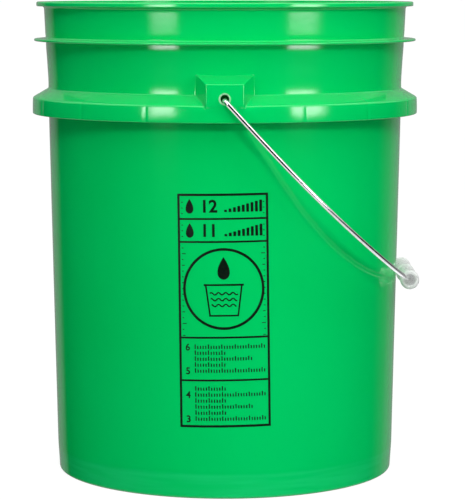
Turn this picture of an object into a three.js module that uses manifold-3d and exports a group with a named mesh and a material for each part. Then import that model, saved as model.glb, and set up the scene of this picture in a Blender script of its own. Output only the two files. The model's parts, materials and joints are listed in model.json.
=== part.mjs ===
// Open five-gallon wash pail with a wire bail and a roller grip.
// Millimetres, +Z up. The origin is the centre of the foot ring's underside.
// The ears stand on the pail at +Y and -Y. The bail swings on the Y line through them, and at
// rest it hangs towards +X with its grip against the wall.

import * as THREE from 'three';
import { ConvexGeometry } from 'three/addons/geometries/ConvexGeometry.js';
import { mergeVertices } from 'three/addons/utils/BufferGeometryUtils.js';
import Module from 'manifold-3d';

const wasm = await Module();
wasm.setup();

// ---- Driving dimensions, mm ----

// Pail wall. The outer face is straight from the foot band to the neck, then flares to the rim.
const WALL = 2.3;
const FOOT_BAND = { z: 19, r: 133.4 };
const NECK = { z: 313, r: 141.75 };
const FIN_ROOT = { z: 337, r: 143.6 };
const RIM_ROOT = { z: 367.3, r: 145.2 };

// Rim flange, at the very top.
const HEIGHT = 371;
const RIM_RADIUS = 151.25;
const RIM_ROUND = 0.9;
const RIM_FILLET = 2.5;

// Stacking fin, a thin ring below the rim.
const FIN_RADIUS = 153;
const FIN_Z = 340.5;
const FIN_THICK = 2.2;
const FIN_FILLET = 2.8;

// Collar: a sloping roof and a nearly upright skirt, open underneath.
const ROOF_TOP_Z = 302;
const ROOF_EDGE = { z: 295.4, r: 153.2 };
const SKIRT_FOOT = { z: 282, r: 153.9 };
const ROOF_FILLET = 3;
const COLLAR_ROUND = 0.8;

// Gusset webs inside the collar.
const WEB_STEPS = 16;
const WEB_THICK = 2;
const WEB_FOOT_Z = 283;
const WEB_BITE = 1;

// Base: a floor lifted above the ground on a foot ring.
const FLOOR_UNDER_Z = 3;
const FLOOR_THICK = 2.5;
const FOOT_RADIUS = 131.9;
const FOOT_ROUND = 3.5;
const FOOT_RING_INNER = 124;
const FLOOR_ROUND = 3.5;

// Ears: tapered boxes on the collar, hollow and open underneath.
const EAR_FACE_Y = 155;
const EAR_FACE_HALF = 14.25;
const EAR_FACE_TOP_Z = 311;
const EAR_ROOT_Y = 138;
const EAR_ROOT_HALF = 22.4;
const EAR_ROOT_TOP_Z = 318.5;
const HOLE_Z = 300;
const HOLE_RADIUS = 3.15;
const HOLE_LIP = 1;
const HOLE_REACH = 8;

// Bail: round wire, swinging on a line a little below the hole's centre, where its weight rests.
const WIRE_RADIUS = 1.83;
const HINGE_Z = 299;
const REST_ANGLE_DEG = 45.2;
const GRIP_REACH = 206.2;
const LEG_Y = 161;
const ELBOW_RADIUS = 5;
const HOOK_Y = 147.1;
const HOOK_BEND = 3;
const HOOK_LENGTH = 7.5;
const CROWN_RADIUS = 220;
const CROWN_HALF = 47;
const CROWN_OFFSET = 2.35;
const LEG_BOW = 2.6;

// Grip: a moulded tube that turns on the crown of the wire.
const GRIP_HALF = 45;
const GRIP_BORE = 4.5;
const GRIP_BARREL = 6.6;
const GRIP_RING = 7.5;
const GRIP_LIP = 6.2;
const GRIP_EDGE = 1.3;
const RING_WIDTH = 4.5;

// Facets.
const PAIL_FACETS = 72;
const HOLE_FACETS = 24;
const GRIP_FACETS = 32;
const WIRE_FACETS = 12;
const CORNER_STEPS = 3;
const ARC_STEPS = 16;
const BEND_STEPS = 3;

// ---- Shared helpers ----

// A closed manifold solid from a three.js geometry.
function solid(geometry) {
  const bare = geometry.clone();
  bare.deleteAttribute('normal');
  bare.deleteAttribute('uv');
  const merged = mergeVertices(bare, 1e-5);
  const mesh = new wasm.Mesh({
    numProp: 3,
    vertProperties: new Float32Array(merged.attributes.position.array),
    triVerts: new Uint32Array(merged.index.array),
  });
  return new wasm.Manifold(mesh);
}

// A three.js geometry from a manifold solid.
function geometryOf(manifold) {
  const mesh = manifold.getMesh();
  const geometry = new THREE.BufferGeometry();
  geometry.setAttribute('position', new THREE.BufferAttribute(mesh.vertProperties, 3));
  geometry.setIndex(new THREE.BufferAttribute(mesh.triVerts, 1));
  geometry.computeVertexNormals();
  return geometry;
}

// An outline through corners [x, y, round]. A round corner starts and ends that far from it.
function outline(corners, steps = CORNER_STEPS) {
  const points = corners.map(([x, y]) => new THREE.Vector2(x, y));
  const path = new THREE.Path();
  path.moveTo(points[0].x, points[0].y);
  corners.forEach(([, , round], i) => {
    const here = points[i];
    if (!round) {
      if (i > 0) path.lineTo(here.x, here.y);
      return;
    }
    const toward = (other) => here.clone().add(other.clone().sub(here).setLength(round));
    const enter = toward(points[i - 1]);
    const leave = toward(points[i + 1]);
    path.lineTo(enter.x, enter.y);
    path.quadraticCurveTo(here.x, here.y, leave.x, leave.y);
  });
  return path.getPoints(steps);
}

// A solid of revolution about +Z from an outline of (radius, height) points.
function lathe(points, facets) {
  return new THREE.LatheGeometry(points, facets).rotateX(Math.PI / 2);
}

// The wall's outer radius at a height, on the straight stretches between its named points.
function wallRadius(z) {
  const stretches = [[FOOT_BAND, NECK], [NECK, FIN_ROOT], [FIN_ROOT, RIM_ROOT]];
  const [low, high] = stretches.find(([, top]) => z <= top.z);
  return low.r + ((z - low.z) * (high.r - low.r)) / (high.z - low.z);
}

// ---- Pail ----

// The roof's underside, WALL below its upper face, at a given radius.
function roofUnderZ(radius) {
  const topR = wallRadius(ROOF_TOP_Z);
  const fall = (ROOF_TOP_Z - ROOF_EDGE.z) / (ROOF_EDGE.r - topR);
  const drop = WALL * Math.hypot(1, fall);
  return ROOF_TOP_Z - drop - (radius - topR) * fall;
}

// Half section of the whole moulding, from the axis under the floor round to the axis above it.
function pailSection() {
  const floorZ = FLOOR_UNDER_Z + FLOOR_THICK;
  const innerTop = RIM_ROOT.r - WALL;
  const channelR = ROOF_EDGE.r - WALL;
  const rootZ = roofUnderZ(wallRadius(ROOF_TOP_Z));
  const finLow = FIN_Z - FIN_THICK / 2;
  const finHigh = FIN_Z + FIN_THICK / 2;
  return outline([
    [0, FLOOR_UNDER_Z],
    [FOOT_RING_INNER, FLOOR_UNDER_Z],
    [FOOT_RING_INNER + 1, 0],
    [FOOT_RADIUS, 0, FOOT_ROUND],
    [FOOT_BAND.r, FOOT_BAND.z],
    [wallRadius(rootZ), rootZ],
    [channelR, roofUnderZ(channelR)],
    [SKIRT_FOOT.r - WALL, SKIRT_FOOT.z],
    [SKIRT_FOOT.r, SKIRT_FOOT.z],
    [ROOF_EDGE.r, ROOF_EDGE.z, COLLAR_ROUND],
    [wallRadius(ROOF_TOP_Z), ROOF_TOP_Z, ROOF_FILLET],
    [NECK.r, NECK.z],
    [FIN_ROOT.r, finLow],
    [FIN_RADIUS, finLow],
    [FIN_RADIUS, finHigh],
    [wallRadius(finHigh), finHigh, FIN_FILLET],
    [RIM_ROOT.r, RIM_ROOT.z, RIM_FILLET],
    [RIM_RADIUS, RIM_ROOT.z, RIM_ROUND],
    [RIM_RADIUS, HEIGHT, RIM_ROUND],
    [innerTop, HEIGHT, RIM_ROUND / 2],
    [FIN_ROOT.r - WALL, FIN_ROOT.z],
    [NECK.r - WALL, NECK.z],
    [FOOT_BAND.r - WALL, FOOT_BAND.z],
    [FOOT_RADIUS - WALL, floorZ, FLOOR_ROUND],
    [0, floorZ],
  ]);
}

// One radial web under the collar's roof, on the +X side.
function gussetWeb() {
  const inner = wallRadius(WEB_FOOT_Z) - WEB_BITE;
  const outer = ROOF_EDGE.r - WEB_BITE;
  const shape = new THREE.Shape([
    new THREE.Vector2(inner, WEB_FOOT_Z),
    new THREE.Vector2(outer, WEB_FOOT_Z),
    new THREE.Vector2(outer, roofUnderZ(outer) + WEB_BITE),
    new THREE.Vector2(inner, roofUnderZ(inner) + WEB_BITE),
  ]);
  const web = new THREE.ExtrudeGeometry(shape, { depth: WEB_THICK, bevelEnabled: false });
  return web.rotateX(Math.PI / 2).translate(0, WEB_THICK / 2, 0);
}

// A box on the +Y side that narrows from its root to its face, shrunk on its sides and top.
function earBlock(shrink, faceY, footZ) {
  const section = (y, half, topZ) => [-half, half].flatMap((x) => [
    new THREE.Vector3(x, y, footZ),
    new THREE.Vector3(x, y, topZ),
  ]);
  return new ConvexGeometry([
    ...section(faceY, EAR_FACE_HALF - shrink, EAR_FACE_TOP_Z - shrink),
    ...section(EAR_ROOT_Y, EAR_ROOT_HALF - shrink, EAR_ROOT_TOP_Z - shrink),
  ]);
}

// The round body of the pail behind the ears, drawn in from the wall's outer face by `inset`.
function wallCore(inset) {
  const low = SKIRT_FOOT.z - 2 * HOLE_REACH;
  const high = FIN_ROOT.z;
  return solid(lathe([
    new THREE.Vector2(0, low),
    new THREE.Vector2(wallRadius(low) - inset, low),
    new THREE.Vector2(NECK.r - inset, NECK.z),
    new THREE.Vector2(FIN_ROOT.r - inset, high),
    new THREE.Vector2(0, high),
  ], PAIL_FACETS));
}

// The bail hole and its bevelled lip, a tool that cuts through the ear's face.
function holeTool() {
  const bore = new THREE.CylinderGeometry(
    HOLE_RADIUS, HOLE_RADIUS, HOLE_REACH, HOLE_FACETS,
  );
  const lip = new THREE.CylinderGeometry(
    HOLE_RADIUS + 2 * HOLE_LIP, HOLE_RADIUS, 2 * HOLE_LIP, HOLE_FACETS,
  );
  bore.translate(0, EAR_FACE_Y, HOLE_Z);
  lip.translate(0, EAR_FACE_Y, HOLE_Z);
  return solid(bore).add(solid(lip));
}

function pailGeometry() {
  const halfTurn = [0, 0, 180];
  const web = solid(gussetWeb());
  const ear = solid(earBlock(0, EAR_FACE_Y, SKIRT_FOOT.z)).subtract(wallCore(WALL / 2));
  const hollow = solid(earBlock(WALL, EAR_FACE_Y - WALL, SKIRT_FOOT.z - HOLE_REACH))
    .subtract(wallCore(0));
  const hole = holeTool();

  let pail = solid(lathe(pailSection(), PAIL_FACETS));
  for (let i = 0; i < WEB_STEPS; i += 1) {
    const angle = (i * 360) / WEB_STEPS;
    const atEar = angle % 180 === 90;
    if (!atEar) pail = pail.add(web.rotate([0, 0, angle]));
  }
  for (const turn of [[0, 0, 0], halfTurn]) {
    pail = pail
      .add(ear.rotate(turn))
      .subtract(hollow.rotate(turn))
      .subtract(hole.rotate(turn));
  }
  return geometryOf(pail);
}

// ---- Bail wire ----

// Points of the wire's centre line in the bail's own plane: x is the reach from the hinge line
// and y runs along it. The list goes from the tip of one hook to the tip of the other.
function wirePlan() {
  const crownReach = GRIP_REACH + CROWN_OFFSET;
  const crownAngle = Math.asin(CROWN_HALF / CROWN_RADIUS);
  const shoulderRadius = (LEG_Y - CROWN_HALF) / (1 - Math.sin(crownAngle));
  const crownCentre = crownReach - CROWN_RADIUS;
  const shoulderX = crownCentre
    + (CROWN_RADIUS - shoulderRadius) * Math.cos(crownAngle);
  const shoulderY = LEG_Y - shoulderRadius;

  const half = new THREE.Path();
  half.moveTo(HOOK_LENGTH, HOOK_Y);
  half.lineTo(HOOK_BEND, HOOK_Y);
  half.absarc(HOOK_BEND, HOOK_Y + HOOK_BEND, HOOK_BEND, -Math.PI / 2, -Math.PI, true);
  half.absarc(ELBOW_RADIUS, LEG_Y - ELBOW_RADIUS, ELBOW_RADIUS, Math.PI, Math.PI / 2, true);
  const bends = half.getPoints(BEND_STEPS);

  const bow = new THREE.Path();
  bow.absarc(shoulderX, shoulderY, shoulderRadius, Math.PI / 2, crownAngle, true);
  bow.absarc(crownCentre, 0, CROWN_RADIUS, crownAngle, 0, true);
  const arcs = bow.getPoints(ARC_STEPS / 2);

  const side = [...bends, ...arcs.slice(0, -1)];
  const crown = arcs.at(-1);
  const mirrored = side.map((p) => new THREE.Vector2(p.x, -p.y)).reverse();
  return [...side, crown, ...mirrored];
}

// The wire's path in space: the plan, set a little out of plane along the legs. Its sections
// fall on the plan's own points, so a tight bend keeps its shape.
class WirePath extends THREE.Curve {
  constructor(plan) {
    super();
    const full = GRIP_REACH + CROWN_OFFSET;
    this.points = plan.map(({ x, y }) => {
      const bow = LEG_BOW * Math.sin((Math.PI * x) / full);
      return new THREE.Vector3(x, y, -bow);
    });
  }

  getPoint(t) {
    const place = t * (this.points.length - 1);
    const index = Math.min(Math.floor(place), this.points.length - 2);
    return this.points[index].clone().lerp(this.points[index + 1], place - index);
  }

  getUtoTmapping(u) {
    return u;
  }
}

function wireGeometry() {
  const circle = new THREE.Shape().absarc(0, 0, WIRE_RADIUS, 0, 2 * Math.PI);
  const path = new WirePath(wirePlan());
  return new THREE.ExtrudeGeometry(circle, {
    extrudePath: path,
    steps: path.points.length - 1,
    curveSegments: WIRE_FACETS / 2,
  });
}

// ---- Grip ----

// A tube along Y with a raised ring at each end and one in the middle.
function gripGeometry() {
  const ends = [-1, 1].map((side) => [
    [GRIP_LIP, side * GRIP_HALF],
    [GRIP_RING, side * (GRIP_HALF - GRIP_EDGE)],
    [GRIP_RING, side * (GRIP_HALF - RING_WIDTH)],
    [GRIP_BARREL, side * (GRIP_HALF - RING_WIDTH - 1)],
  ]);
  const middle = [
    [GRIP_BARREL, -RING_WIDTH / 2 - 1],
    [GRIP_RING, -RING_WIDTH / 2],
    [GRIP_RING, RING_WIDTH / 2],
    [GRIP_BARREL, RING_WIDTH / 2 + 1],
  ];
  const bore = [[GRIP_BORE, GRIP_HALF], [GRIP_BORE, -GRIP_HALF]];
  const loop = [...ends[0], ...middle, ...ends[1].reverse(), ...bore, ends[0][0]];
  const points = loop.map(([r, y]) => new THREE.Vector2(r, y));
  return new THREE.LatheGeometry(points, GRIP_FACETS);
}

// ---- Assembly ----

function part(name, geometry, material) {
  const mesh = new THREE.Mesh(geometry, new THREE.MeshStandardMaterial(material));
  mesh.name = name;
  return mesh;
}

const greenPolyethylene = { color: '#05c863', roughness: 0.3, metalness: 0 };
const zincPlatedSteel = { color: '#c9ccce', roughness: 0.22, metalness: 1 };
const naturalPolyethylene = { color: '#e6ebe6', roughness: 0.4, metalness: 0 };

const bucket = new THREE.Group();
bucket.add(part('pail', pailGeometry(), greenPolyethylene));

const bail = new THREE.Group();
bail.position.z = HINGE_Z;
bail.rotation.y = THREE.MathUtils.degToRad(REST_ANGLE_DEG);
bail.add(part('bail_wire', wireGeometry(), zincPlatedSteel));

const grip = part('grip', gripGeometry(), naturalPolyethylene);
grip.position.x = GRIP_REACH;
bail.add(grip);
bucket.add(bail);

export default bucket;
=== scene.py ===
"""The wash bucket's looks: a fine pail, bail wire, roller grip and printed litre scale over the CAD frame.

Lengths are millimetres until a mesh is made, which turns them into Blender's metres. The origin and axes are
the frame's: +Z up, the ears at +Y and -Y, and the bail at rest towards +X.
"""

import json
import math

import bmesh
import bpy
import numpy as np
from mathutils import Matrix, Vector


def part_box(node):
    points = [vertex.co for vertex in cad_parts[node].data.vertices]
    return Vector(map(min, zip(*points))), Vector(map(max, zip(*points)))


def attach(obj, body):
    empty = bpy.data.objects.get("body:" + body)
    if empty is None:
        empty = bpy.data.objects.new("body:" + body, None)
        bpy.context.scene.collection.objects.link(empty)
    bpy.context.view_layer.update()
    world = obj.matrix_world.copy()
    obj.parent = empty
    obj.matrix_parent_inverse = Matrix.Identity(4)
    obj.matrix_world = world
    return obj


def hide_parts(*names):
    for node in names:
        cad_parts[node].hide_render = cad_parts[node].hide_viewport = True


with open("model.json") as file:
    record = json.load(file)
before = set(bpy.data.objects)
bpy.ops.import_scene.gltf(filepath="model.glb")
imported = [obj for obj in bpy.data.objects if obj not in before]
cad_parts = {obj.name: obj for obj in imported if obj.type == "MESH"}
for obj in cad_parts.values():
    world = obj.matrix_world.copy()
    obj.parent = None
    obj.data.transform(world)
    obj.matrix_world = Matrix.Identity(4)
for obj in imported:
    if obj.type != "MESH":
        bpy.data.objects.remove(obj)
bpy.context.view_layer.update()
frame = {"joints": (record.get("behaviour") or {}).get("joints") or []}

MM = 0.001


# ---------------------------------------------------------------- sizes from the frame

def box_mm(node):
    """A CAD node's lowest and highest corners, in millimetres."""
    low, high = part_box(node)
    return np.array(low) / MM, np.array(high) / MM


def joint_place(name):
    """Where a joint's axis passes, in millimetres."""
    joint = next(j for j in frame["joints"] if j["name"] == name)
    return np.array(joint["pos_m"]) / MM


PAIL_HIGH = box_mm("pail")[1]
WIRE_HIGH = box_mm("bail_wire")[1]
GRIP_LOW, GRIP_HIGH = box_mm("grip")
HINGE = joint_place("bail_swing")
GRIP_PLACE = joint_place("grip_spin")

HEIGHT = PAIL_HIGH[2]
COLLAR_FOOT_R = PAIL_HIGH[0]
EAR_FACE = PAIL_HIGH[1]

# ---------------------------------------------------------------- the pail's own sizes

WALL = 2.3
# Outer face of the wall, (height, radius), from the foot to the rim, and how far each bend is spread.
WALL_KNOTS = [(0, 131.9), (19, 133.4), (300, 141.55), (303.5, 141.40), (308, 141.45), (325, 142.6),
              (337, 143.6), (HEIGHT, 145.4)]
KNOT_BLEND = 3.0
# The wall's draft close to its two ends, in millimetres out per millimetre up.
END_DRAFT = 0.03

# The underside stands on the foot ring. A gate mark sits at its middle and a low ring mark round that.
# Inside, the middle of the floor is a little higher.
FLOOR_UNDER = 3.0
FLOOR_THICK = 2.5
FOOT_INNER = 125.0
FOOT_ROUND = 1.8
FOOT_BAND = 17.5
GATE_RADIUS, GATE_DROP = 4.6, 0.7
MARK_INNER, MARK_OUTER, MARK_DROP = 59.0, 62.0, 0.5
FLOOR_TOP = FLOOR_UNDER + FLOOR_THICK
FLOOR_CROWN, FLOOR_CROWN_RADIUS = 0.5, 57.0

# The collar: a skirt from its foot up to the (height, radius) of the roof's edge, then the roof.
COLLAR_FOOT = 282.0
ROOF_EDGE = (294.9, 153.8)
SKIRT_BULGE = 0.16
ROOF_TOP = 302.0
LIP_ROUND = 0.6
EDGE_BLEND = 1.6
ROOT_BLEND = 1.3

FIN_RADIUS = 153.0
FIN_LOW, FIN_HIGH = 339.4, 341.7
FIN_SINK, FIN_SINK_SPREAD = 0.26, 3.3
FIN_ROOT_TOP = 345.0
RIM_RADIUS = 151.25
RIM_UNDER = 367.3

EAR_FACE_HALF = 14.25
EAR_FACE_TOP = 311.0
EAR_ROOT = 138.0
EAR_ROOT_HALF = 22.4
EAR_ROOT_TOP = 318.5
# Above this height the wall has no trace of the ears.
EAR_TOP_ROW = 321.0
EAR_EDGE_BLEND = 1.3
EAR_ROOT_BLEND = 0.9
# Below the roof's edge the ear's face runs out into the skirt between these distances from its middle.
SWELL_START, SWELL_FULL = 40.0, 2.0

HOLE_HEIGHT = 300.0
HOLE_RADIUS = 3.15
HOLE_LIP = 1.05

WEB_COUNT = 16
WEB_THICK = 2.0
WEB_RAISE = 1.0
# Each web's sink mark: a narrow groove in a shallow one that widens from the collar's foot to its roof.
GROOVE_DEEP, GROOVE_SPREAD = 0.24, 0.95
HOLLOW_DEEP, HOLLOW_SPREAD_LOW, HOLLOW_SPREAD_HIGH = 0.14, 1.5, 6.5

# ---------------------------------------------------------------- small maths


def smooth_min(a, b, blend):
    """The smaller of two lengths, rounded where they are within `blend` of each other."""
    share = np.clip(0.5 + 0.5 * (b - a) / blend, 0, 1)
    return b + (a - b) * share - blend * share * (1 - share)


def smooth_max(a, b, blend):
    """The larger of two lengths, rounded in the same way."""
    return -smooth_min(-a, -b, blend)


def smooth_step(value, start, end):
    """0 at `start` and 1 at `end`, easing in and out between them."""
    share = np.clip((value - start) / (end - start), 0, 1)
    return share * share * (3 - 2 * share)


def rounded(corners, steps=4):
    """Points along a line of (x, y, radius) corners, each corner turned by an arc of its radius."""
    points = [np.array(c[:2], float) for c in corners]
    line = []
    for i, corner in enumerate(corners):
        if len(corner) == 2:
            line.append(points[i])
            continue
        radius = corner[2]
        here = points[i]
        back = points[i - 1] - here
        ahead = points[i + 1] - here
        back /= np.linalg.norm(back)
        ahead /= np.linalg.norm(ahead)
        half = math.acos(np.clip(back @ ahead, -1, 1)) / 2
        middle = here + (back + ahead) / np.linalg.norm(back + ahead) * radius / math.sin(half)
        start = here + back * radius / math.tan(half) - middle
        end = here + ahead * radius / math.tan(half) - middle
        turn = math.atan2(start[0] * end[1] - start[1] * end[0], start @ end)
        for step in range(steps + 1):
            angle = turn * step / steps
            spin = np.array([[math.cos(angle), -math.sin(angle)], [math.sin(angle), math.cos(angle)]])
            line.append(middle + spin @ start)
    return line


def filled(line, longest):
    """The same line with extra points, so that no step is longer than `longest`."""
    out = [line[0]]
    for point in line[1:]:
        gap = np.linalg.norm(point - out[-1])
        count = max(1, math.ceil(gap / longest))
        start = out[-1]
        out += [start + (point - start) * k / count for k in range(1, count + 1)]
    return out


# ---------------------------------------------------------------- mesh helpers


def mesh_object(name, points, faces):
    """A new object from points in millimetres and their faces."""
    mesh = bpy.data.meshes.new(name)
    mesh.from_pydata((np.asarray(points, float) * MM).tolist(), [], [list(map(int, f)) for f in faces])
    mesh.validate()
    obj = bpy.data.objects.new(name, mesh)
    bpy.context.scene.collection.objects.link(obj)
    return obj


def grid_faces(rows, columns, around=True, flip=False, start=0):
    """Four-sided faces between the points of a grid; `around` joins the last column to the first."""
    faces = []
    for row in range(rows - 1):
        for column in range(columns if around else columns - 1):
            after = (column + 1) % columns
            low, high = start + row * columns, start + (row + 1) * columns
            face = [low + column, low + after, high + after, high + column]
            faces.append(face[::-1] if flip else face)
    return faces


def fan_faces(rows, columns):
    """Three-sided faces that close a grid's two end rows onto the two points that follow the grid."""
    faces = []
    size, last = rows * columns, (rows - 1) * columns
    for column in range(columns):
        after = (column + 1) % columns
        faces.append([size, after, column])
        faces.append([size + 1, last + column, last + after])
    return faces


def revolve(name, line, columns, start=0.0, sweep=2 * math.pi):
    """A closed solid: a closed (radius, height) outline turned about Z by a whole turn or a part of one."""
    whole = math.isclose(sweep, 2 * math.pi)
    count = columns if whole else columns + 1
    size = len(line)
    points = []
    for k in range(count):
        angle = start + sweep * k / columns
        points += [(r * math.cos(angle), r * math.sin(angle), z) for r, z in line]
    faces = []
    for k in range(columns):
        this, after = k * size, (k + 1) % count * size
        for i in range(size):
            j = (i + 1) % size
            faces.append([this + i, after + i, after + j, this + j])
    if not whole:
        faces.append(list(range(size)))
        faces.append([(count - 1) * size + i for i in reversed(range(size))])
    return outward(mesh_object(name, points, faces))


def outward(obj):
    """Turns every face of a closed mesh outward."""
    work = bmesh.new()
    work.from_mesh(obj.data)
    bmesh.ops.remove_doubles(work, verts=work.verts, dist=1e-7)
    bmesh.ops.recalc_face_normals(work, faces=work.faces)
    work.to_mesh(obj.data)
    work.free()
    return obj


def cut(target, tool):
    """Cuts `tool` out of `target` for good and removes the tool."""
    modifier = target.modifiers.new("cut", "BOOLEAN")
    modifier.operation = "DIFFERENCE"
    modifier.solver = "MANIFOLD"
    modifier.object = tool
    baked = bpy.data.meshes.new_from_object(target.evaluated_get(bpy.context.evaluated_depsgraph_get()))
    target.modifiers.clear()
    target.data = baked
    bpy.data.objects.remove(tool)
    return target


def soften(obj, sharp_degrees=32):
    """Smooth shading that stays flat across flat faces and breaks at sharp edges."""
    limit = math.radians(sharp_degrees)
    work = bmesh.new()
    work.from_mesh(obj.data)
    for face in work.faces:
        face.smooth = True
    for edge in work.edges:
        edge.smooth = len(edge.link_faces) == 2 and edge.calc_face_angle(0) < limit
    work.to_mesh(obj.data)
    work.free()
    weighted = obj.modifiers.new("weighted", "WEIGHTED_NORMAL")
    weighted.keep_sharp = True
    return obj


# ---------------------------------------------------------------- pail


def wall_radius(z):
    """The wall's outer radius at a height. Each bend is eased by taking the mean of four places near it."""
    heights, radii = np.array(WALL_KNOTS).T
    spread = (-KNOT_BLEND, -KNOT_BLEND / 3, KNOT_BLEND / 3, KNOT_BLEND)
    inside = np.clip(z, KNOT_BLEND, HEIGHT - KNOT_BLEND)
    mean = sum(np.interp(inside + offset, heights, radii) for offset in spread) / len(spread)
    return mean + (z - inside) * END_DRAFT


def wall_inside(z):
    """The wall's inner radius at a height."""
    return wall_radius(z) - WALL


def sunk_wall(z):
    """The wall near the stacking fin, whose thick root draws it in a little."""
    middle = (FIN_LOW + FIN_HIGH) / 2
    return wall_radius(z) - FIN_SINK * math.exp(-(((z - middle) / FIN_SINK_SPREAD) ** 2))


def waviness(angle, z):
    """How far the moulding strays from round at a place: an oval, broad panels and a fine ripple."""
    oval = 0.10 * np.sin(2 * angle + 0.7) * np.cos(z / 130)
    panels = 0.045 * np.sin(5 * angle + z / 70 + 1.9) + 0.03 * np.sin(9 * angle - z / 48 + 0.4)
    ripple = 0.014 * np.sin(23 * angle + z / 31) + 0.012 * np.sin(z / 9.0 + 3 * angle)
    return oval + panels + ripple


def apart(angle, other):
    """The turn from one angle to another, the short way round."""
    return np.angle(np.exp(1j * (angle - other)))


def at_ear(angle):
    """True at +Y and -Y, the two web places that the ears take."""
    return abs(math.cos(angle)) < 1e-6


def from_ear(angle):
    """How far an angle is from the nearer ear's middle."""
    return np.abs(apart(2 * angle, math.pi)) / 2


def collar_marks():
    """The evenly spaced angles at which a web or an ear stands."""
    return [2 * math.pi * k / WEB_COUNT for k in range(WEB_COUNT)]


def web_angles():
    """The same angles without the two ears."""
    return [mark for mark in collar_marks() if not at_ear(mark)]


def web_sink(angle, z):
    """The depth of the grooves that cooling leaves on the collar in front of the webs."""
    depth = np.zeros_like(angle * z)
    rise = smooth_step(z, COLLAR_FOOT, ROOF_EDGE[0])
    hollow_spread = HOLLOW_SPREAD_LOW + (HOLLOW_SPREAD_HIGH - HOLLOW_SPREAD_LOW) * rise
    for web in web_angles():
        across = apart(angle, web) * COLLAR_FOOT_R
        depth = depth + GROOVE_DEEP * np.exp(-((across / GROOVE_SPREAD) ** 2))
        depth = depth + HOLLOW_DEEP * np.exp(-((across / hollow_spread) ** 2))
    return depth * smooth_step(z, ROOF_TOP - 1, ROOF_TOP - 4)


def ear_reach(angle, z):
    """How far from the axis the nearer ear's face, sloped side or sloped top is, and 0 well away from it."""
    turn = from_ear(angle)
    side_run, side_fall = EAR_ROOT_HALF - EAR_FACE_HALF, EAR_FACE - EAR_ROOT
    side_slope = side_fall * np.sin(turn) + side_run * np.cos(turn)
    side = (side_fall * EAR_FACE_HALF + side_run * EAR_FACE) / side_slope
    top_run = EAR_ROOT_TOP - EAR_FACE_TOP
    top = (top_run * EAR_FACE + side_fall * (EAR_FACE_TOP - z)) / (top_run * np.cos(turn))
    front = EAR_FACE / np.cos(turn)
    near = smooth_min(smooth_min(front, side, EAR_EDGE_BLEND), top, EAR_EDGE_BLEND)
    return np.where(turn < 0.3, near, 0)


def collar_reach(angle, z):
    """The outer face of the collar, ears and the wall just above them."""
    edge_z, edge_r = ROOF_EDGE
    fall = np.clip((edge_z - z) / (edge_z - COLLAR_FOOT), 0, 1)
    skirt = edge_r + fall * (COLLAR_FOOT_R - edge_r) + SKIRT_BULGE * 4 * fall * (1 - fall)
    roof = edge_r - (z - edge_z) * (edge_r - wall_radius(ROOF_TOP)) / (ROOF_TOP - edge_z)
    collar = smooth_min(skirt, roof, EDGE_BLEND) - web_sink(angle, z)
    body = smooth_max(wall_radius(z), collar, ROOT_BLEND)
    across = EAR_FACE * np.tan(from_ear(angle))
    swell = body + (EAR_FACE - body) * smooth_step(across, SWELL_START, SWELL_FULL)
    ear = smooth_max(body, ear_reach(angle, z), EAR_ROOT_BLEND)
    # The swell takes over from the ear just below the roof's edge.
    return ear + (swell - ear) * smooth_step(z, edge_z + 0.6, edge_z - 3.4)


def pail_columns():
    """The angles of the pail's columns: even all round, finer over the ears and the web marks."""
    even = [2 * math.pi * k / 180 for k in range(180)]
    fine = []
    ear_spots = np.concatenate([np.arange(-24.9, -9, 0.6), np.arange(-8, 8.5, 2), np.arange(9.3, 25, 0.6)])
    web_spots = (-2.4, -1.2, -0.5, 0, 0.5, 1.2, 2.4)
    for mark in collar_marks():
        spots, reach, span = (ear_spots, EAR_FACE, 25.0) if at_ear(mark) else (web_spots, COLLAR_FOOT_R, 2.6)
        even = [angle for angle in even if abs(apart(angle, mark)) > span / COLLAR_FOOT_R]
        fine += [mark + spot / reach for spot in spots]
    return np.array(sorted(angle % (2 * math.pi) for angle in even + fine))


def lower_line():
    """(radius, height) from the middle of the underside to the wall just under the collar."""
    gate, mark = FLOOR_UNDER - GATE_DROP, FLOOR_UNDER - MARK_DROP
    line = rounded([
        (0, gate), (GATE_RADIUS, gate, 0.5), (GATE_RADIUS + 0.8, FLOOR_UNDER, 0.5),
        (MARK_INNER - 1, FLOOR_UNDER, 1), (MARK_INNER, mark, 0.8),
        (MARK_OUTER, mark, 0.8), (MARK_OUTER + 1, FLOOR_UNDER, 1),
        (FOOT_INNER - 1.2, FLOOR_UNDER, 0.9), (FOOT_INNER, 0, 0.7),
        (wall_radius(0), 0, FOOT_ROUND), (wall_radius(12), 12),
    ])
    band = [16, 19, 22, 26]
    wall = np.arange(38, COLLAR_FOOT - 8, 14)
    heights = [*band, *wall, COLLAR_FOOT - 4, COLLAR_FOOT - 1]
    return filled(line, 28) + [np.array((wall_radius(z), z)) for z in heights]


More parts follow.
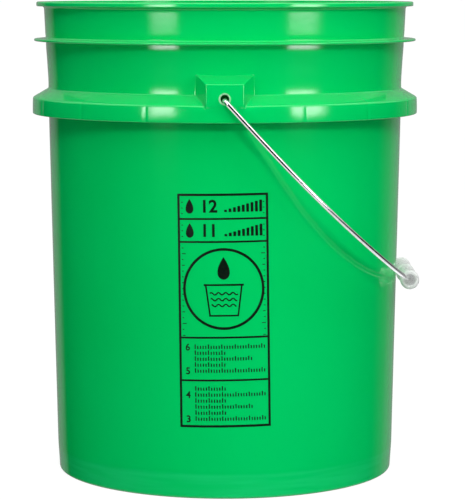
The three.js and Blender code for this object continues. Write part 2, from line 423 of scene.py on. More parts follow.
def upper_line():
    """(radius, height) from the wall above the ears, over the fin and rim, to the floor's middle inside."""
    outside = [np.array((wall_radius(z), z)) for z in np.arange(EAR_TOP_ROW + 2, FIN_LOW - 12, 3)]
    sunk = [np.array((sunk_wall(z), z)) for z in np.arange(FIN_LOW - 9.5, FIN_LOW - 0.9, 0.8)]
    fin = rounded([
        (sunk_wall(FIN_LOW - 0.7), FIN_LOW - 0.7), (sunk_wall(FIN_LOW), FIN_LOW + 0.1, 0.35),
        (FIN_RADIUS, FIN_LOW + 0.25, 0.75), (FIN_RADIUS, FIN_HIGH - 0.25, 0.75),
        (sunk_wall(FIN_HIGH), FIN_HIGH, 1.5), (sunk_wall(FIN_ROOT_TOP), FIN_ROOT_TOP),
    ], steps=5)[1:]
    band = [np.array((sunk_wall(z), z)) for z in FIN_ROOT_TOP + np.array((1.5, 2.5, 3.5, 5, 7, 10, 13, 16))]
    rim = rounded([
        (wall_radius(RIM_UNDER - 4), RIM_UNDER - 4), (wall_radius(RIM_UNDER), RIM_UNDER, 2.2),
        (RIM_RADIUS, RIM_UNDER, 0.9), (RIM_RADIUS, HEIGHT, 1.2),
        (wall_inside(HEIGHT), HEIGHT, 0.9), (wall_inside(HEIGHT - 8), HEIGHT - 8),
    ], steps=5)
    inside = [np.array((wall_inside(z), z)) for z in np.arange(HEIGHT - 18, 26, -20)]
    bottom = rounded([
        (wall_inside(22), 22), (wall_inside(FLOOR_TOP), FLOOR_TOP, 4.0),
        (FLOOR_CROWN_RADIUS + 3, FLOOR_TOP, 2), (FLOOR_CROWN_RADIUS, FLOOR_TOP + FLOOR_CROWN, 2),
        (0, FLOOR_TOP + FLOOR_CROWN),
    ])
    return outside + sunk + fin + band + rim + inside + filled(bottom, 28)


def collar_heights():
    """The rows up the collar and ears: finer where the shape turns."""
    edge = ROOF_EDGE[0]
    skirt = np.arange(COLLAR_FOOT + 1.6, edge - 2, 1.5)
    turn = np.arange(edge - 2, edge + 1.4, 0.4)
    roof = np.arange(edge + 1.6, ROOF_TOP - 1.4, 0.8)
    fillet = np.arange(ROOF_TOP - 1.2, ROOF_TOP + 2.4, 0.4)
    neck = np.arange(ROOF_TOP + 3, EAR_FACE_TOP - 2, 1.2)
    top = np.arange(EAR_FACE_TOP - 1.8, EAR_TOP_ROW, 0.45)
    return np.concatenate([skirt, turn, roof, fillet, neck, top])


def pail_skin():
    """The whole moulding with a solid collar: one closed surface of rows round the axis."""
    angles = pail_columns()
    level = np.ones_like(angles)
    rows = [(level * r, z) for r, z in lower_line()]
    rows.append((level * wall_radius(COLLAR_FOOT), COLLAR_FOOT))
    foot_reach = collar_reach(angles, COLLAR_FOOT + LIP_ROUND)
    for turn in np.linspace(math.pi / 2, 0, 5):
        lip = foot_reach - LIP_ROUND * (1 - math.cos(turn))
        rows.append((lip, COLLAR_FOOT + LIP_ROUND * (1 - math.sin(turn))))
    rows += [(collar_reach(angles, z), z) for z in collar_heights()]
    rows += [(level * r, z) for r, z in upper_line()]

    rings = []
    for radii, z in rows[1:-1]:
        # The moulding is true over its floor and at its foot.
        stray = waviness(angles, z) * smooth_step(radii, 118, 134) * smooth_step(z, 0, 14)
        reach = radii + stray
        rings.append(np.column_stack([reach * np.cos(angles), reach * np.sin(angles), level * z]))
    middles = [(0, 0, z) for _, z in (rows[0], rows[-1])]
    columns = len(angles)
    faces = grid_faces(len(rings), columns) + fan_faces(len(rings), columns)
    return mesh_object("pail_shell", np.concatenate([*rings, middles]), faces)


def roof_under(radius):
    """The height of the collar roof's underside at a radius."""
    edge_z, edge_r = ROOF_EDGE
    fall = (ROOF_TOP - edge_z) / (edge_r - wall_radius(ROOF_TOP))
    return ROOF_TOP - WALL * math.hypot(1, fall) - (radius - wall_radius(ROOF_TOP)) * fall


def collar_cells():
    """The spaces between the webs under the collar, and the gap below each web, as cutting tools."""
    clear = 0.05
    below = COLLAR_FOOT - 1
    skirt_in = COLLAR_FOOT_R - WALL
    wall_in = wall_radius(290) + clear
    channel = ROOF_EDGE[1] - WALL
    cell = rounded([
        (wall_in, below), (wall_in + 0.2, roof_under(wall_in), 0.8),
        (channel, roof_under(channel), 0.8), (skirt_in, below),
    ], steps=3)
    web_foot = COLLAR_FOOT + WEB_RAISE
    gap = [(wall_in, below), (wall_in, web_foot), (skirt_in, web_foot), (skirt_in, below)]
    half_web = WEB_THICK / 2 / channel
    half_ear = (EAR_ROOT_HALF - 1.5) / EAR_FACE
    tools = []
    for mark in collar_marks():
        after = mark + 2 * math.pi / WEB_COUNT
        start = mark + (half_ear if at_ear(mark) else half_web)
        end = after - (half_ear if at_ear(after) else half_web)
        tools.append(revolve("cell", cell, 12, start, end - start))
        if not at_ear(mark):
            tools.append(revolve("gap", gap, 3, mark - half_web * 1.5, half_web * 3))
    return tools


def ear_hollow():
    """The space inside the +Y ear, open below, as a cutting tool."""
    foot = COLLAR_FOOT - 4
    corners = []
    for y, half, top in ((EAR_FACE - WALL, EAR_FACE_HALF - WALL, EAR_FACE_TOP - WALL),
                         (EAR_ROOT, EAR_ROOT_HALF - WALL, EAR_ROOT_TOP - WALL)):
        corners += [(-half, y, foot), (half, y, foot), (half, y, top), (-half, y, top)]
    faces = [(0, 1, 2, 3), (7, 6, 5, 4), (0, 4, 5, 1), (1, 5, 6, 2), (2, 6, 7, 3), (3, 7, 4, 0)]
    hollow = outward(mesh_object("hollow", corners, faces))
    heights = np.linspace(foot - 5, EAR_ROOT_TOP + 8, 12)
    core_line = [(0, heights[0])] + [(wall_radius(z) + 0.05, z) for z in heights] + [(0, heights[-1])]
    return cut(hollow, revolve("core", core_line, columns=256))


def ear_hole():
    """The bail hole with its flared lip in the +Y ear, as a cutting tool."""
    flare = [(HOLE_RADIUS + HOLE_LIP * (1 - math.cos(a)), HOLE_LIP * (math.sin(a) - 1))
             for a in np.linspace(0, math.pi / 2, 7)]
    line = [(0, -8), (HOLE_RADIUS, -8)] + flare + [(HOLE_RADIUS + HOLE_LIP, 3), (0, 3)]
    tool = revolve("hole", line, columns=64)
    tool.data.transform(Matrix.Rotation(-math.pi / 2, 4, "X"))
    tool.data.transform(Matrix.Translation((0, EAR_FACE * MM, HOLE_HEIGHT * MM)))
    return tool


def make_pail():
    """The moulding's skin with the collar's cells, the two ears' hollows and the bail holes cut out of it."""
    pail = pail_skin()
    tools = collar_cells()
    for side in range(2):
        for tool in (ear_hollow(), ear_hole()):
            tool.data.transform(Matrix.Rotation(math.pi * side, 4, "Z"))
            tools.append(tool)
    for tool in tools:
        cut(pail, tool)
    return soften(pail)


# ---------------------------------------------------------------- bail wire

WIRE_RADIUS = 1.83
LEG_Y = WIRE_HIGH[1] - WIRE_RADIUS
ELBOW_RADIUS = 5.0
HOOK_Y = 147.1
HOOK_BEND = 3.0
HOOK_LENGTH = 7.5
CROWN_RADIUS = 220.0
CROWN_HALF = 47.0
CROWN_OFFSET = 2.35
LEG_BOW = 2.6
WIRE_SIDES = 28
WIRE_END_EASE = 0.5


def arc(centre, radius, start, end, steps):
    """Points on an arc, ends included."""
    return [np.array((centre[0] + radius * math.cos(a), centre[1] + radius * math.sin(a)))
            for a in np.linspace(start, end, steps)]


def wire_plan(reach):
    """The wire's centre line, flat: x is the reach from the hinge line, y runs along it. Hook to hook."""
    crown_x = reach + CROWN_OFFSET - CROWN_RADIUS
    crown_turn = math.asin(CROWN_HALF / CROWN_RADIUS)
    shoulder_r = (LEG_Y - CROWN_HALF) / (1 - math.sin(crown_turn))
    shoulder = (crown_x + (CROWN_RADIUS - shoulder_r) * math.cos(crown_turn), LEG_Y - shoulder_r)
    quarter = math.pi / 2
    half = [np.array((HOOK_LENGTH, HOOK_Y)), np.array((HOOK_LENGTH - 0.3, HOOK_Y))]
    half += arc((HOOK_BEND, HOOK_Y + HOOK_BEND), HOOK_BEND, -quarter, -2 * quarter, 8)
    half += arc((ELBOW_RADIUS, LEG_Y - ELBOW_RADIUS), ELBOW_RADIUS, 2 * quarter, quarter, 10)
    half += arc(shoulder, shoulder_r, quarter, crown_turn, 44)
    half += arc((crown_x, 0), CROWN_RADIUS, crown_turn, 0, 14)[1:]
    half = filled(half, 6)
    return half + [point * (1, -1) for point in reversed(half[:-1])]


def sweep(name, path, radius, sides):
    """A round bar along a path, with eased ends. Columns run round the bar and rows along it."""
    path = np.array(path)
    tangent = np.gradient(path, axis=0)
    tangent /= np.linalg.norm(tangent, axis=1)[:, None]
    side = np.cross(tangent[0], (0, 0, 1))
    stations = []
    for here, along in zip(path, tangent):
        side = side - (side @ along) * along
        side /= np.linalg.norm(side)
        stations.append((here, side, np.cross(along, side), radius))

    def eased_end(station, outwards):
        """The stations from the full bar to its flat end, which lies past the end of the path."""
        here, side, lift, _ = station
        ease = [(WIRE_END_EASE * math.cos(a), WIRE_END_EASE * (1 - math.sin(a)))
                for a in np.linspace(math.pi / 2, 0, 4)]
        return [(here + outwards * past, side, lift, radius - less) for past, less in ease]

    head = eased_end(stations[0], -tangent[0])[::-1]
    tail = eased_end(stations[-1], tangent[-1])
    stations = head + stations[1:-1] + tail
    spin = np.arange(sides) / sides * 2 * math.pi
    rings = [
        here + (np.outer(np.cos(spin), side) + np.outer(np.sin(spin), lift)) * wide
        for here, side, lift, wide in stations]
    middles = [stations[0][0], stations[-1][0]]
    faces = grid_faces(len(rings), sides) + fan_faces(len(rings), sides)
    return outward(mesh_object(name, np.concatenate([*rings, middles]), faces))


def make_wire():
    """The bail at rest: its plan laid along the line from the hinge to the grip, legs bowed a little."""
    arm = GRIP_PLACE - HINGE
    reach = np.linalg.norm(arm)
    out = arm / reach
    across = np.array((0.0, 1.0, 0.0))
    drop = np.cross(out, across)
    drop *= -np.sign(drop[2])
    path = []
    for x, y in wire_plan(reach):
        bow = LEG_BOW * math.sin(math.pi * x / (reach + CROWN_OFFSET))
        path.append(HINGE + out * x + across * y + drop * bow)
    return soften(sweep("bail_wire_bright", path, WIRE_RADIUS, WIRE_SIDES), 40)


# ---------------------------------------------------------------- grip

GRIP_HALF = (GRIP_HIGH[1] - GRIP_LOW[1]) / 2
RING_RADIUS = (GRIP_HIGH[0] - GRIP_LOW[0]) / 2
BARREL_RADIUS = 6.6
BORE_RADIUS = 4.5
END_LIP = 6.15
END_SLOPE = 1.3
RING_WIDTH = 4.5
RING_SLOPE = 0.9
SEAM_RISE = 0.12
GRIP_SIDES = 72


def make_grip():
    """The tube along Y, with raised rings, rounded ends and a fine mould seam on two sides."""
    half = [
        (BORE_RADIUS, GRIP_HALF, 0.5),
        (END_LIP, GRIP_HALF, 0.5),
        (RING_RADIUS, GRIP_HALF - END_SLOPE, 1.0),
        (RING_RADIUS, GRIP_HALF - RING_WIDTH, 0.4),
        (BARREL_RADIUS, GRIP_HALF - RING_WIDTH - RING_SLOPE, 0.5),
        (BARREL_RADIUS, RING_WIDTH / 2 + RING_SLOPE, 0.5),
        (RING_RADIUS, RING_WIDTH / 2, 0.4),
    ]
    other_half = [(radius, -along, turn) for radius, along, turn in half]
    corners = [(BORE_RADIUS, 0), *other_half, *half[::-1], (BORE_RADIUS, 0)]
    line = filled(rounded(corners), 5)
    spin = np.arange(GRIP_SIDES) / GRIP_SIDES * 2 * math.pi
    seam = SEAM_RISE * np.exp(-((np.sin(spin) / 0.05) ** 2))
    rings = []
    for radius, along in line:
        reach = radius + (seam if radius > END_LIP + 0.25 else 0)
        rings.append(np.column_stack([reach * np.sin(spin), np.full_like(spin, along), reach * np.cos(spin)]))
    points = np.concatenate(rings) + GRIP_PLACE
    faces = grid_faces(len(rings), GRIP_SIDES)
    return soften(outward(mesh_object("grip_natural", points, faces)), 40)


# ---------------------------------------------------------------- printed litre scale

# The panel's edges and its cross rules, from the top down. It was printed a little off centre and askew.
PANEL_HALF = 34.2
PANEL_LOW, PANEL_HIGH = 54.1, 229.1
PANEL_RULES = (210.2, 193.0, 121.4, 89.4)
PANEL_SHIFT = -0.5
PANEL_TILT = math.radians(0.76)
FRAME_LINE = 1.75
RULE_LINE = 1.4
RING_CENTRE = 157.8
RING_OUTER = 30.6
RING_LINE = 2.0
SIDE_MARK = 1.2
# The ink's slabs reach this far out of the wall's face and into it.
INK_PROUD = 0.05
INK_DEEP = 0.12


def height_of(litres):
    """The level that so many litres reach, by summing the inside in thin slices."""
    slice_height, litre = 0.5, 1e6
    levels = np.arange(FLOOR_TOP, HEIGHT, slice_height)
    volume = np.cumsum(math.pi * wall_inside(levels) ** 2 * slice_height) / litre
    return float(np.interp(litres, volume, levels))


def on_wall(across, up, lift):
    """A place on the front of the wall, `across` to the right along it, at a height, `lift` proud of it."""
    centre = (PANEL_LOW + PANEL_HIGH) / 2
    c, s = math.cos(PANEL_TILT), math.sin(PANEL_TILT)
    x = across * c - (up - centre) * s
    z = centre + across * s + (up - centre) * c
    angle = -math.pi / 2 + (x + PANEL_SHIFT) / wall_radius(z)
    reach = wall_radius(z) + waviness(angle, z) + lift
    return np.array((reach * math.cos(angle), reach * math.sin(angle), z))


class Ink:
    """Collects flat printed shapes, each a thin closed slab that follows the wall."""

    def __init__(self):
        self.points = []
        self.faces = []

    def patch(self, grid):
        """A closed thin slab over a grid of (across, up) places: rows of equal length."""
        rows, columns = len(grid), len(grid[0])
        flat = [place for row in grid for place in row]
        start, size = len(self.points), rows * columns
        self.points += [on_wall(x, z, INK_PROUD) for x, z in flat]
        self.points += [on_wall(x, z, -INK_DEEP) for x, z in flat]
        self.faces += grid_faces(rows, columns, around=False, start=start)
        self.faces += grid_faces(rows, columns, around=False, flip=True, start=start + size)
        edge = list(range(columns))
        edge += [row * columns + columns - 1 for row in range(1, rows)]
        edge += [(rows - 1) * columns + k for k in range(columns - 2, -1, -1)]
        edge += [row * columns for row in range(rows - 2, 0, -1)]
        for i, here in enumerate(edge):
            after = edge[(i + 1) % len(edge)]
            self.faces.append([start + size + here, start + size + after, start + after, start + here])

    def bar(self, left, right, low, high):
        """A rectangle, cut finely enough to follow the wall."""
        columns = max(2, int((right - left) / 3) + 2)
        rows = max(2, int((high - low) / 12) + 2)
        across = np.linspace(left, right, columns)
        self.patch([[(x, z) for x in across] for z in np.linspace(low, high, rows)])

    def ring(self, x, z, outer, line):
        """A round line, `line` wide inside its `outer` radius."""
        turn = np.linspace(0, 2 * math.pi, int(2 * math.pi * outer / 1.6) + 1)
        radii = (outer, outer - line)
        self.patch([[(x + r * math.cos(a), z + r * math.sin(a)) for a in turn] for r in radii])

    def stroke(self, places, width):
        """A line of even width through (across, up) places."""
        places = np.array(places)
        run = np.gradient(places, axis=0)
        run /= np.linalg.norm(run, axis=1)[:, None]
        side = np.column_stack([-run[:, 1], run[:, 0]]) * width / 2
        self.patch([list(map(tuple, places - side)), list(map(tuple, places + side))])

    def drop(self, x, z, size):
        """A solid water drop, `size` high, its round foot at the bottom."""
        turn = np.linspace(0, math.pi, 15)
        height = size * (0.5 - 0.5 * np.cos(turn))
        width = size * 0.36 * np.sin(turn) * (0.5 + 0.5 * np.cos(turn)) ** 0.55
        sides = np.linspace(-1, 1, 13)
        self.patch([[(x + side * w, z + h) for h, w in zip(height, width)] for side in sides])

    def numeral(self, text, x, z, size, weight):
        """A number in the plain built-in typeface, thickened by `weight`, from its lower left corner."""
        curve = bpy.data.curves.new("numeral", "FONT")
        curve.body = text
        curve.size = size
        curve.offset = weight
        holder = bpy.data.objects.new("numeral", curve)
        bpy.context.scene.collection.objects.link(holder)
        flat = bpy.data.meshes.new_from_object(holder.evaluated_get(bpy.context.evaluated_depsgraph_get()))
        bpy.data.objects.remove(holder)
        work = bmesh.new()
        work.from_mesh(flat)
        bmesh.ops.remove_doubles(work, verts=work.verts, dist=size * 1e-4)
        faces = [[v.index for v in face.verts] for face in work.faces]
        places = [(x + v.co.x, z + v.co.y) for v in work.verts]
        borders = [edge.link_loops[0] for edge in work.edges if len(edge.link_faces) == 1]
        border = [(loop.vert.index, loop.link_loop_next.vert.index) for loop in borders]
        work.free()
        start, count = len(self.points), len(places)
        self.points += [on_wall(a, b, INK_PROUD) for a, b in places]
        self.points += [on_wall(a, b, -INK_DEEP) for a, b in places]
        self.faces += [[start + i for i in face] for face in faces]
        self.faces += [[start + count + i for i in reversed(face)] for face in faces]
        self.faces += [[start + b, start + a, start + count + a, start + count + b] for a, b in border]


def print_frame(ink):
    """The panel's border and its four cross rules."""
    half, line = PANEL_HALF, FRAME_LINE
    ink.bar(-half, half, PANEL_HIGH - line, PANEL_HIGH)
    ink.bar(-half, half, PANEL_LOW, PANEL_LOW + line)
    for side in (-1, 1):
        edges = sorted((side * half, side * (half - line)))
        ink.bar(*edges, PANEL_LOW, PANEL_HIGH)
    for rule in PANEL_RULES:
        ink.bar(-half, half, rule - RULE_LINE / 2, rule + RULE_LINE / 2)


def print_emblem(ink):
    """A ring round a pail outline with ripples in it and a drop above."""
    ink.ring(0, RING_CENTRE, RING_OUTER, RING_LINE)
    brim, foot = RING_CENTRE + 3, RING_CENTRE - 20
    brim_half, foot_half = 13.5, 10.5
    for side in (-1, 1):
        ink.stroke([(side * brim_half, brim), (side * foot_half, foot)], 1.2)
    ink.bar(-foot_half - 0.6, foot_half + 0.6, foot - 0.6, foot + 0.6)
    ink.bar(-brim_half - 1.5, brim_half + 1.5, brim - 0.7, brim + 0.7)
    ink.drop(0, brim + 4, 17)
    for row in range(3):
        half = foot_half - 0.6 * row
        across = np.linspace(-half, half, 29)
        ripple = 0.9 * np.sin(across / 5.4 * 2 * math.pi)
        ink.stroke(np.column_stack([across, brim - 6.5 - 4.4 * row + ripple]), 1.0)


def print_scale(ink):
    """A mark for each quarter litre: a row of them below the emblem, and one at each side further up."""
    inner = PANEL_HALF - FRAME_LINE - 1.2
    quarters = [(quarter, height_of(quarter / 4)) for quarter in range(12, 51)]
    for quarter, level in quarters:
        clear = min(abs(level - rule) for rule in (*PANEL_RULES, PANEL_LOW))
        if level < PANEL_RULES[2]:
            if level > PANEL_LOW and clear > 3.0:
                print_row(ink, quarter, level)
        elif clear > 1.6 and level < PANEL_HIGH - 3:
            narrow = abs(level - RING_CENTRE) < 14 or level > PANEL_RULES[1]
            length = SIDE_MARK if narrow else {0: 3.0, 2: 2.0}.get(quarter % 4, SIDE_MARK)
            for side in (-1, 1):
                edges = sorted((side * inner, side * (inner - length)))
                ink.bar(*edges, level - 0.3, level + 0.3)


def print_row(ink, quarter, level):
    """One level's marks across a lower cell: most at a whole litre, which has its number too."""
    size = 7.2
    if quarter % 4 == 0:
        ink.numeral(str(quarter // 4), -29.5, level - size * 0.32, size, 0.14)
    first, pitch, width, foot = -22.5, 2.0, 0.9, level - 1.2
    for k in range({0: 27, 2: 22}.get(quarter % 4, 12)):
        left = first + pitch * k
        tall = 3.4 if k % 5 == 0 else 2.4
        ink.bar(left, left + width, foot, foot + tall)


def print_headings(ink):
    """The two upper cells: a small drop, a bold number of litres and a rising row of bars in each."""
    first, pitch, width, tallest = 1.0, 3.3, 2.1, 8.8
    edges = (PANEL_HIGH, *PANEL_RULES[:2])
    for litres, high, low in zip((12, 11), edges, edges[1:]):
        foot = (high + low - tallest) / 2
        ink.drop(-25.0, foot - 1, 11)
        ink.numeral(str(litres), -17.0, foot, 13.0, 0.35)
        for k in range(9):
            left = first + pitch * k
            ink.bar(left, left + width, foot, foot + tallest * (k + 2) / 10)


def make_print():
    """The whole printed panel as one piece."""
    ink = Ink()
    print_frame(ink)
    print_headings(ink)
    print_emblem(ink)
    print_scale(ink)
    return outward(mesh_object("printed_scale", ink.points, ink.faces))


# ---------------------------------------------------------------- materials


class Graph:
    """Short calls for building the nodes of one material, light or world."""

    def __init__(self, owner, shader, place):
        """Feeds the node called `shader`; `place` is the texture coordinate that patterns are laid on."""
        owner.use_nodes = True
        self.tree = owner.node_tree
        self.shader = self.tree.nodes[shader]
        self.place = self.node("TexCoord").outputs[place]

    def node(self, kind, inputs=(), **settings):
        """A new node with its inputs fed and its settings made."""
        made = self.tree.nodes.new("ShaderNode" + kind)
        for key, value in settings.items():
            setattr(made, key, value)
        for socket, value in dict(inputs).items():
            self.feed(made.inputs[socket], value)
        return made

    def feed(self, socket, value):
        """Links another node's output to a socket, or sets a plain value."""
        if isinstance(value, bpy.types.NodeSocket):
            self.tree.links.new(value, socket)
        else:
            socket.default_value = value

    def set(self, **inputs):
        """Feeds the shader's inputs, with an underscore for each space in a name."""
        for name, value in inputs.items():
            self.feed(self.shader.inputs[name.replace("_", " ")], value)

    def noise(self, scale, detail=2.0, place=None, rough=0.5):
        """Soft noise between 0 and 1, with about `scale` blotches to the metre."""
        inputs = {"Vector": place or self.place, "Scale": scale, "Detail": detail, "Roughness": rough}
        return self.node("TexNoise", inputs).outputs["Fac"]

    def stretch(self, x, y, z):
        """The place, scaled along each axis."""
        return self.node("Mapping", {"Vector": self.place, "Scale": (x, y, z)}).outputs["Vector"]

    def remap(self, value, low, high, to_low, to_high, ease="LINEAR"):
        """A value's range laid onto another one and held at its ends."""
        inputs = {"Value": value, "From Min": low, "From Max": high, "To Min": to_low, "To Max": to_high}
        return self.node("MapRange", inputs, clamp=True, interpolation_type=ease).outputs["Result"]

    def mix(self, share, first, second):
        """One colour at share 0, the other at 1."""
        made = self.node("Mix", {0: share}, data_type="RGBA")
        self.feed(made.inputs[6], first)
        self.feed(made.inputs[7], second)
        return made.outputs[2]

    def mix_values(self, share, first, second):
        """One value at share 0, the other at 1."""
        return self.node("Mix", {0: share, 2: first, 3: second}).outputs[0]

    def maths(self, operation, first, *others):
        """One operation; with more than two values it runs along them in turn."""
        if not others:
            return self.node("Math", {0: first}, operation=operation).outputs[0]
        for other in others:
            first = self.node("Math", {0: first, 1: other}, operation=operation).outputs[0]
        return first

    def bump(self, height, distance, onto=None):
        """The surface's direction under a pattern `distance` millimetres deep, over another bump's."""
        inputs = {"Height": height, "Distance": distance * MM, "Strength": 1.0}
        if onto:
            inputs["Normal"] = onto
        return self.node("Bump", inputs).outputs["Normal"]


def surface(name):
    """A new material's graph, placed by the object's own axes."""
    material = bpy.data.materials.new(name)
    return material, Graph(material, "Principled BSDF", "Object")


def pail_plastic():
    """Green polyethylene: glossy, faintly uneven in tone, with moulded orange peel, a paler streaky foot band
    and a painted highlight, a pale ring round each hole."""
    material, g = surface("green_polyethylene")
    parts = g.node("SeparateXYZ", {0: g.place})
    height = parts.outputs["Z"]
    tone = g.noise(5.0, 3.0)
    flow = g.noise(9.0, 4.0, g.stretch(1, 1, 0.25), 0.6)
    base = g.mix(g.remap(tone, 0.35, 0.65, 0, 1), (0.0, 0.600, 0.122, 1), (0.0, 0.640, 0.142, 1))
    base = g.mix(g.remap(flow, 0.5, 0.75, 0, 0.25), base, (0.0, 0.560, 0.112, 1))
    band = g.remap(height, (FOOT_BAND + 2.5) * MM, (FOOT_BAND - 1) * MM, 0, 1, "SMOOTHSTEP")
    streak = g.remap(g.noise(30, 3.0, g.stretch(0.6, 0.6, 8)), 0.35, 0.65, 0.15, 0.6)
    base = g.mix(g.maths("MULTIPLY", band, streak), base, (0.012, 0.70, 0.21, 1))
    foot = g.remap(height, 0.0, 2.5 * MM, 1, 0)
    grime = g.maths("MULTIPLY", foot, g.remap(g.noise(140, 4.0), 0.42, 0.62, 0, 0.3))
    base = g.mix(grime, base, (0.10, 0.42, 0.17, 1))
    # Painted highlight: a pale ring of colour round each bail hole on the ear's face, standing in for the
    # light that the hole's lip catches.
    spoke = g.node("CombineXYZ", {0: parts.outputs["X"], 2: g.maths("SUBTRACT", height, HOLE_HEIGHT * MM)})
    away = g.node("VectorMath", {0: spoke.outputs[0]}, operation="LENGTH").outputs["Value"]
    hole_ring_highlight = g.remap(away, (HOLE_RADIUS + 1.7) * MM, (HOLE_RADIUS + 0.9) * MM, 0, 0.6, "SMOOTHSTEP")
    aside = g.maths("ABSOLUTE", parts.outputs["Y"])
    outside = g.remap(aside, (EAR_FACE - 2.2) * MM, (EAR_FACE - 1.2) * MM, 0, 1)
    hole_ring_highlight = g.maths("MULTIPLY", hole_ring_highlight, outside, g.remap(g.noise(420, 3.0), 0.3, 0.6, 0.6, 1))
    base = g.mix(hole_ring_highlight, base, (0.62, 0.88, 0.66, 1))
    scratch = g.remap(g.noise(60, 5.0, g.stretch(1, 1, 9), 0.75), 0.62, 0.72, 0, 1)
    rough = g.remap(g.noise(14, 4.0), 0.3, 0.7, 0.08, 0.12)
    rough = g.maths("ADD", rough, g.maths("MULTIPLY", scratch, 0.08), g.maths("MULTIPLY", foot, 0.2))
    peel = g.bump(g.noise(230, 2.0), 0.020)
    grain = g.bump(g.noise(1500, 2.0), 0.004, peel)
    g.set(Base_Color=base, Roughness=rough, IOR=1.5, Normal=grain)
    g.set(Subsurface_Weight=0.12, Subsurface_Radius=(0.15, 1.0, 0.35), Subsurface_Scale=1.6 * MM)
    return material


def wire_steel():
    """Bright zinc plate over drawn wire: fine draw lines along it and a mottled bloom."""
    material, g = surface("zinc_plated_wire")
    bloom = g.noise(260, 4.0)
    tone = g.mix(g.remap(bloom, 0.35, 0.68, 0, 1), (0.88, 0.89, 0.90, 1), (0.74, 0.76, 0.78, 1))
    rough = g.remap(g.noise(300, 3.0), 0.3, 0.7, 0.16, 0.24)
    lines = g.bump(g.noise(400, 2.0, g.stretch(1, 0.2, 1)), 0.0010)
    g.set(Base_Color=tone, Metallic=1.0, Roughness=rough, Normal=lines)
    return material


def grip_plastic():
    """Natural polyethylene: milky and lightly frosted. Its faint painted glow, an emission of its own, stands
    in for the light that the tube carries.
    """
    material, g = surface("natural_polyethylene")
    cloud = g.noise(60, 2.0)
    base = g.mix(g.remap(cloud, 0.35, 0.65, 0, 1), (0.62, 0.63, 0.62, 1), (0.65, 0.66, 0.65, 1))
    rough = g.remap(g.noise(400, 3.0), 0.3, 0.7, 0.24, 0.36)
    g.set(Base_Color=base, Roughness=rough, IOR=1.51, Normal=g.bump(g.noise(300, 2.0), 0.004))
    g.set(Transmission_Weight=0.12, Subsurface_Weight=1.0)
    g.set(Subsurface_Radius=(1.0, 1.0, 1.0), Subsurface_Scale=6.0 * MM)
    # Painted glow: the grip emits a little light, though it is no lamp, so that it looks lit through.
    g.set(Emission_Color=(0.98, 1.0, 0.98, 1), Emission_Strength=0.14)
    return material


def print_ink():
    """Black pad-printing ink, a little uneven."""
    material, g = surface("black_ink")
    thin = g.remap(g.noise(500, 4.0), 0.40, 0.75, 0, 0.5)
    base = g.mix(thin, (0.001, 0.004, 0.002, 1), (0.002, 0.030, 0.009, 1))
    rough = g.remap(g.noise(220, 3.0), 0.3, 0.7, 0.28, 0.42)
    g.set(Base_Color=base, Roughness=rough, Specular_IOR_Level=0.3, Normal=g.bump(g.noise(900, 2.0), 0.006))
    return material


# ---------------------------------------------------------------- build and attach

PIECES = (
    (make_pail, pail_plastic, "pail_body", "pail", "pail_plastic"),
    (make_wire, wire_steel, "bail", "bail_wire", "bail_steel"),
    (make_grip, grip_plastic, "roller", "grip", "grip_plastic"),
    (make_print, print_ink, "pail_body", None, None),
)
for make, finish, body, node, slot in PIECES:
    piece = make()
    piece.data.materials.clear()
    piece.data.materials.append(finish())
    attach(piece, body)
    if node:
        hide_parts(node)

# ---------------------------------------------------------------- floor, light and camera, in metres

FLOOR_HALF = 90.0
LIGHT_DISTANCE = 1.6

# How bright the studio's own surfaces are. Surfaces get only CEILING_BACK of the ceiling's light from behind.
CEILING, CEILING_BACK = 2.0, 0.35
BACKDROP = 0.32
FLOOR_SHEEN, SIDE_SHEEN = 0.9, 1.0


def make_floor():
    """A plain pale floor, too wide for its edge to be seen. Only the camera sees its glow of a lit sweep."""
    half = FLOOR_HALF / MM
    corners = [(-half, -half, 0), (half, -half, 0), (half, half, 0), (-half, half, 0)]
    floor = mesh_object("floor", corners, [(0, 1, 2, 3)])
    material, g = surface("pale_floor")
    speck = g.mix(g.noise(3.0, 2.0), (0.14, 0.14, 0.14, 1), (0.16, 0.16, 0.16, 1))
    glow = g.maths("MULTIPLY", g.node("LightPath").outputs["Is Camera Ray"], 0.90)
    g.set(Base_Color=speck, Roughness=0.9, Specular_IOR_Level=0.0)
    g.set(Emission_Color=(1, 1, 1, 1), Emission_Strength=glow)
    floor.data.materials.append(material)
    floor.visible_glossy = False


def make_light_panel(name, azimuth, spread, low, high, radiance, fade=None, mirrored=True):
    """An upright soft panel facing the axis, between two heights in metres. Azimuth is degrees round from the
    camera's side, positive towards +X, and the panel reaches `spread` degrees either way. `fade` is the share
    of the panel over which it dies away at its left, right and lower edges."""
    turn = math.radians(azimuth)
    data = bpy.data.lights.new(name, "AREA")
    data.shape = "RECTANGLE"
    data.size = 2 * LIGHT_DISTANCE * math.tan(math.radians(spread))
    data.size_y = high - low
    data.energy = math.pi * data.size * data.size_y * radiance
    if fade:
        left, right, foot = fade
        g = Graph(data, "Emission", "Object")
        spot = g.node("NewGeometry").outputs["Parametric"]
        parts = g.node("SeparateXYZ", {0: spot}).outputs
        strength = g.maths("MULTIPLY", g.remap(parts["X"], 0, left, 0, 1, "SMOOTHSTEP"),
                           g.remap(parts["X"], 1, 1 - right, 0, 1, "SMOOTHSTEP"),
                           g.remap(parts["Y"], 0, foot, 0, 1, "SMOOTHSTEP"))
        g.set(Strength=strength)
    light = bpy.data.objects.new(name, data)
    light.location = (LIGHT_DISTANCE * math.sin(turn), -LIGHT_DISTANCE * math.cos(turn), (low + high) / 2)
    light.rotation_euler = (math.pi / 2, 0, turn)
    light.visible_camera = False
    light.visible_glossy = mirrored
    bpy.context.scene.collection.objects.link(light)


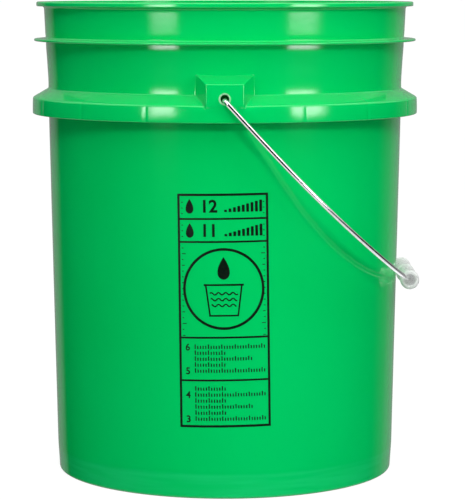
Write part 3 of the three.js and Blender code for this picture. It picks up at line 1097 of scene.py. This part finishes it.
def make_world():
    """The studio round the pail: white to the camera, otherwise a bright ceiling, a dim backdrop behind it,
    and the sheen of the side walls and of the floor close by. Angles are in degrees."""
    world = bpy.data.worlds.new("studio")
    bpy.context.scene.world = world
    g = Graph(world, "Background", "Generated")
    path = g.node("LightPath").outputs
    parts = g.node("SeparateXYZ", {0: g.place})
    towards = g.maths("MULTIPLY", parts.outputs["Y"], -1.0)
    azimuth = g.maths("MULTIPLY", g.maths("ARCTAN2", parts.outputs["X"], towards), math.degrees(1))
    height = g.maths("MULTIPLY", g.maths("ARCSINE", parts.outputs["Z"]), math.degrees(1))

    def rise(value, start, end, strength=1.0):
        """0 at `start` and `strength` at `end`, eased between them."""
        return g.remap(value, start, end, 0.0, strength, "SMOOTHSTEP")

    turned = g.maths("ABSOLUTE", azimuth)
    front = rise(turned, 100, 50, 1 - CEILING_BACK)
    lighting = g.mix_values(path["Is Diffuse Ray"], 1.0, g.maths("ADD", front, CEILING_BACK))
    ceiling = g.maths("MULTIPLY", rise(height, 32, 50, CEILING), lighting)
    beside = g.maths("MULTIPLY", rise(turned, 35, 62), rise(turned, 150, 125))
    walls = g.maths("MULTIPLY", beside, rise(height, 8, 22, SIDE_SHEEN), path["Is Glossy Ray"])
    below = rise(height, -22, -34, FLOOR_SHEEN)
    behind = g.maths("ADD", rise(azimuth, 116, 152, BACKDROP), rise(azimuth, -136, -150, BACKDROP))
    backdrop = g.maths("MULTIPLY", behind, rise(height, 50, 32))
    strength = g.maths("ADD", g.maths("MAXIMUM", ceiling, walls), below, backdrop)
    strength = g.mix_values(path["Is Camera Ray"], strength, 1.0)
    g.set(Color=(1, 1, 1, 1), Strength=strength)


def make_camera():
    """A level camera whose lens is shifted, as a product camera's is, so that uprights stay upright. The
    shift holds only at this distance in front; when the camera is moved elsewhere, its lens is centred."""
    distance, eye, lens = 1.865, 0.385, 167.0
    shift = {"shift_x": 0.0154, "shift_y": -0.532}
    data = bpy.data.cameras.new("camera")
    data.lens = lens
    camera = bpy.data.objects.new("camera", data)
    camera.location = (0, -distance, eye)
    camera.rotation_euler = (math.pi / 2, 0, 0)
    bpy.context.scene.collection.objects.link(camera)
    bpy.context.scene.camera = camera
    for channel, amount in shift.items():
        driver = data.driver_add(channel).driver
        place = driver.variables.new()
        place.name = "y"
        place.type = "TRANSFORMS"
        place.targets[0].id = camera
        place.targets[0].transform_type = "LOC_Y"
        place.targets[0].transform_space = "WORLD_SPACE"
        driver.type = "SCRIPTED"
        driver.expression = f"{amount} if fabs(y + {distance}) < 0.001 else 0.0"


make_floor()
# At each side a bright box low down, whose edges fade, and a dimmer panel above it.
for side, azimuth, spread, dimmer, fade in (("left", -38, 11, 1.0, (0.5, 0.15, 0.5)),
                                            ("right", 49, 13, 2.2, (0.15, 0.4, 0.5))):
    make_light_panel(side + "_box", azimuth, spread, low=0.13, high=0.46, radiance=11.0, fade=fade)
    make_light_panel(side + "_upper", azimuth, spread=10, low=0.46, high=1.6, radiance=dimmer)
make_light_panel("key", azimuth=8, spread=7.5, low=0.80, high=1.15, radiance=27.0, mirrored=False)
make_light_panel("back_fill", azimuth=180, spread=30, low=0.85, high=1.8, radiance=2.4, mirrored=False)
make_world()
make_camera()
bpy.context.scene.view_settings.view_transform = "Standard"
